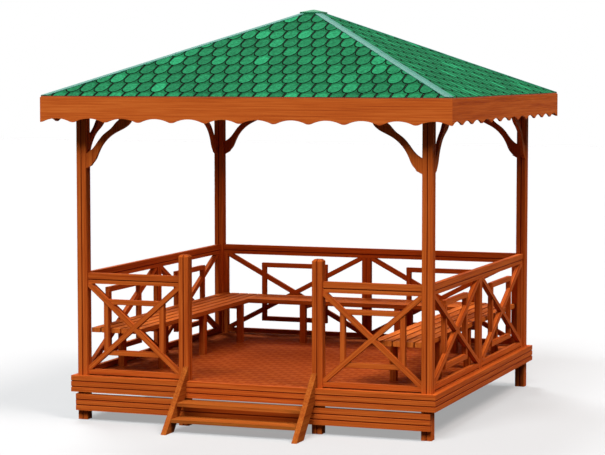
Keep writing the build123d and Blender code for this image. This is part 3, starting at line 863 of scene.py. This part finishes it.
def folded_strip(quarter):
    """A closed section along the hip: wings fall by the slope, and near the fold the
    distance |p| becomes sqrt(p^2 + fold^2) - fold, which rounds the crease. The lowest end
    is mitred to the two eaves: a place |p| from the fold starts |p| / sqrt(2) up the hip.
    """
    across = WING * np.array((-1, -0.97, -0.6, -0.3, -0.12, 0,
                              0.12, 0.3, 0.6, 0.97, 1))
    reach = np.sqrt(across**2 + FOLD**2) - FOLD
    hem = np.where(np.abs(across) > 0.98 * WING, HEM, 0.0)
    top = -PITCH * reach / np.sqrt(2) + STRIP_LIFT - hem
    section = np.concatenate((top, top[::-1] - STRIP_THICK))
    sideways = np.concatenate((across, across[::-1]))
    lengths = int(np.ceil((EAVE - APEX) / STRIP_LENGTH))
    starts = np.arange(lengths) * STRIP_LENGTH
    ends = np.minimum(starts + STRIP_LENGTH + STRIP_LAP, EAVE - APEX)
    mitre = np.abs(sideways) / np.sqrt(2)
    path = np.stack((np.maximum(starts[:, None], mitre),
                     np.repeat(ends[:, None], len(mitre), axis=1)), axis=1)
    rise = np.stack((np.full(lengths, LAP_RISE), np.zeros(lengths)), axis=1)
    run = EAVE - path
    x = run + sideways / np.sqrt(2)
    y = -run + sideways / np.sqrt(2)
    z = EAVE_TOP + path * PITCH + section + rise[..., None]
    corners = np.stack((x, y, z), axis=3).reshape(-1, 3)
    n = len(section)
    i = np.arange(n)
    ring = np.stack((i, i + n, (i + 1) % n + n, (i + 1) % n), axis=1)
    walls = (ring[None] + (np.arange(lengths) * 2 * n)[:, None, None]).reshape(-1, 4)
    a = np.arange(n // 2 - 1)
    cap = np.stack((a, a + 1, n - 2 - a, n - 1 - a), axis=1)
    caps = np.concatenate((cap, cap[:, ::-1] + n))
    caps = (caps[None] + (np.arange(lengths) * 2 * n)[:, None, None]).reshape(-1, 4)
    return turned(corners, quarter), np.concatenate((walls, caps))


def weathered(name, code, dark):
    """Rubber or paint: an even colour with faint weathering, and a satin surface."""
    made, tree, shader = new_material(name)
    place = add(tree, "ShaderNodeTexCoord").outputs["Object"]
    wear = add(tree, "ShaderNodeTexNoise", {"Vector": place, "Scale": 1 / WEAR,
                                            "Detail": 4.0}).outputs["Fac"]
    worn = add(tree, "ShaderNodeValToRGB", {"Fac": wear}, ((0.35, dark), (0.65, code)))
    tree.links.new(worn.outputs["Color"], shader.inputs["Base Color"])
    shader.inputs["Roughness"].default_value = 0.5
    shader.inputs["Specular IOR Level"].default_value = 0.12
    return made


strip_rubber = weathered("pale_green_rubber", "#2C6C5F", "#276458")
strips = [folded_strip(quarter) for quarter in range(4)]
step = len(strips[0][0])
corners = np.concatenate([part[0] for part in strips])
faces = np.concatenate([part[1] + k * step for k, part in enumerate(strips)])
hips = make_piece("hip_flashing", corners, faces, strip_rubber)
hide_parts("hip_strips")
finish_node("roof_cap", weathered("green_painted_timber", "#20724E", "#1B6643"))

# %% [markdown]
# ## Studio
# The gazebo stands on a seamless pale floor under a broad white sky. A soft lamp behind
# the left shoulder of the roof draws gentle shadows to the front right. Two weaker ones
# from the front lift the faces that look this way, and a warm one from the right lifts
# that side. A hidden panel at head height stands for the light that bounces about inside,
# and a small one at the steps reaches the board behind the treads, which no lamp can.

# %% Pale floor
PAPER_GLOW = 0.35
PAPER_SEEN = (0.415, 0.447, 0.463, 1)
PAPER_BOUNCE = (0.06, 0.06, 0.06, 1)
FLOOR_HALF = 60.0
WHITE = (1, 1, 1, 1)


def shown_rays(tree):
    """1 for the rays that meet the plain white background: those of the camera, and those
    that a glossy or clear surface sends on.
    """
    rays = add(tree, "ShaderNodeLightPath").outputs
    shown = rays["Is Camera Ray"]
    for kind in ("Is Glossy Ray", "Is Transmission Ray"):
        shown = maths(tree, "MAXIMUM", shown, rays[kind])
    return shown


def studio_floor():
    """Pale paper. The camera sees it partly lit from behind, so that its shadows stay
    light, while the gazebo gets little light back from it.
    """
    made, tree, shader = new_material("studio_paper")
    shader.inputs["Base Color"].default_value = PAPER_BOUNCE
    shader.inputs["Roughness"].default_value = 0.9
    shader.inputs["Specular IOR Level"].default_value = 0.0
    seen = shown_rays(tree)
    paper = add(tree, "ShaderNodeBsdfDiffuse", {"Color": PAPER_SEEN})
    glow = add(tree, "ShaderNodeEmission", {"Color": WHITE, "Strength": 1.0})
    both = add(tree, "ShaderNodeMixShader", {0: PAPER_GLOW, 1: paper.outputs[0],
                                             2: glow.outputs[0]})
    pick = add(tree, "ShaderNodeMixShader", {0: seen, 1: shader.outputs[0],
                                             2: both.outputs[0]})
    output = tree.nodes["Material Output"]
    tree.links.new(pick.outputs[0], output.inputs["Surface"])
    return made


floor_mesh = bpy.data.meshes.new("studio_floor")
floor_mesh.from_pydata([(-FLOOR_HALF, -FLOOR_HALF, 0), (FLOOR_HALF, -FLOOR_HALF, 0),
                        (FLOOR_HALF, FLOOR_HALF, 0), (-FLOOR_HALF, FLOOR_HALF, 0)],
                       [], [(0, 1, 2, 3)])
floor_mesh.materials.append(studio_floor())
studio = bpy.data.objects.new("studio_floor", floor_mesh)
bpy.context.scene.collection.objects.link(studio)
print("floor of", 2 * FLOOR_HALF, "m")

# %% [markdown]
# The sky is brightest overhead and fades to nothing at the horizon, so undersides stay
# dark. It is a little warm, as light is among stained timber. What the camera sees of it,
# or a shiny surface mirrors, is plain white.

# %% Sky
SKY_LOW = 0.0
SKY_HIGH = 0.36
SKY_TINT = (1.0, 0.68, 0.60, 1)

world = bpy.data.worlds.new("white_studio")
bpy.context.scene.world = world
world.use_nodes = True
world.node_tree.nodes.clear()
seen = shown_rays(world.node_tree)
ray = add(world.node_tree, "ShaderNodeTexCoord").outputs["Generated"]
height = add(world.node_tree, "ShaderNodeSeparateXYZ", {0: ray}).outputs[2]
dome = add(world.node_tree, "ShaderNodeMapRange",
           {"Value": height, "From Min": 0.0, "From Max": 1.0, "To Min": SKY_LOW,
            "To Max": SKY_HIGH}).outputs["Result"]
strength = add(world.node_tree, "ShaderNodeMix", {"Factor": seen, "A": dome, "B": 1.0})
tint = add(world.node_tree, "ShaderNodeMix",
           {"Factor": seen, "A": SKY_TINT, "B": WHITE}, data_type="RGBA")
sky = add(world.node_tree, "ShaderNodeBackground",
          {"Color": tint.outputs["Result"], "Strength": strength.outputs["Result"]})
add(world.node_tree, "ShaderNodeOutputWorld", {"Surface": sky.outputs[0]})
print("sky from", SKY_LOW, "at the horizon to", SKY_HIGH, "overhead")

# %% [markdown]
# A sun lamp with a wide angle is a softbox so far off that its light is even. Its strength
# is the same wherever the gazebo stands, and a wider angle gives softer shadows.

# %% Lamps
# Each lamp: name, strength, softness, the direction it shines from, colour.
LAMPS = (
    ("key_lamp", 2.2, 0.30, (-0.35, 0.45, 0.82), (1, 1, 1)),
    ("front_lamp", 1.6, 0.25, (-0.15, -0.56, 0.81), (1, 1, 1)),
    ("fill_lamp", 1.8, 0.25, (0.08, -0.70, 0.71), (1, 1, 1)),
    ("right_lamp", 2.95, 0.40, (0.50, -0.12, 0.86), (1, 0.86, 0.80)),
)


def aim(lamp_direction):
    """The turn that makes a lamp shine from that direction."""
    return Vector(lamp_direction).to_track_quat("Z", "Y").to_euler()


for name, power, softness, direction, tint in LAMPS:
    lamp = bpy.data.lights.new(name, "SUN")
    lamp.energy = power
    lamp.angle = softness
    lamp.color = tint
    holder = bpy.data.objects.new(name, lamp)
    holder.rotation_euler = aim(direction)
    bpy.context.scene.collection.objects.link(holder)
print(len(LAMPS), "lamps")

# %% [markdown]
# Two lit panels do what bounced light does on the real thing, and neither can be seen.
# One spreads over most of the floor. The other is a narrow strip over the lower tread
# that shines in under the upper one.

# %% Hidden panels
ABOVE_RAIL = 0.75
BEHIND_TREAD = 0.05          # in from the front edge of the lower tread
tread_low, tread_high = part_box("step_treads")
# Each panel: name, power, size, colour, spread of its beam, place, where it shines from.
PANELS = (
    ("head_height_panel", 18, (2.2, 2.2), (1.0, 0.60, 0.44), np.pi,
     (-0.2, MIDDLE + 0.3, HANDRAIL_TOP + ABOVE_RAIL), (0, 0, 1)),
    ("step_panel", 0.36, (0.9, 0.03), (1.0, 0.75, 0.60), 2.0,
     ((tread_low.x + tread_high.x) / 2, tread_low.y + BEHIND_TREAD,
      (tread_low.z + tread_high.z) / 2), (0, -1, 0)),
)
for name, power, (wide, deep), tint, spread, place, direction in PANELS:
    panel = bpy.data.lights.new(name, "AREA")
    panel.shape = "RECTANGLE"
    panel.size, panel.size_y = wide, deep
    panel.spread = spread
    panel.energy = power
    panel.color = tint
    holder = bpy.data.objects.new(name, panel)
    holder.location = place
    holder.rotation_euler = aim(direction)
    holder.visible_camera = False
    bpy.context.scene.collection.objects.link(holder)
print(len(PANELS), "hidden panels")

# %% [markdown]
# The camera stands well back with a long lens, as for a catalogue, so that upright posts
# look upright. It is above eye level, turned a little to the left and tipped down.

# %% Camera
LENS = 124.22                # in millimetres, on a sensor 36 mm wide
STAND = (6.2842, -17.3758, 3.0006)
TIPPED = 0.0769              # in radians, below level
TURNED = 0.35

camera = bpy.data.cameras.new("camera")
camera.sensor_width = 36.0
camera.lens = LENS
camera.clip_end = 200.0
eye = bpy.data.objects.new("camera", camera)
eye.location = STAND
eye.rotation_euler = (np.pi / 2 - TIPPED, 0.0, TURNED)
bpy.context.scene.collection.objects.link(eye)
bpy.context.scene.camera = eye
bpy.context.scene.view_settings.view_transform = "Standard"
print("camera at", [round(part, 2) for part in eye.location])
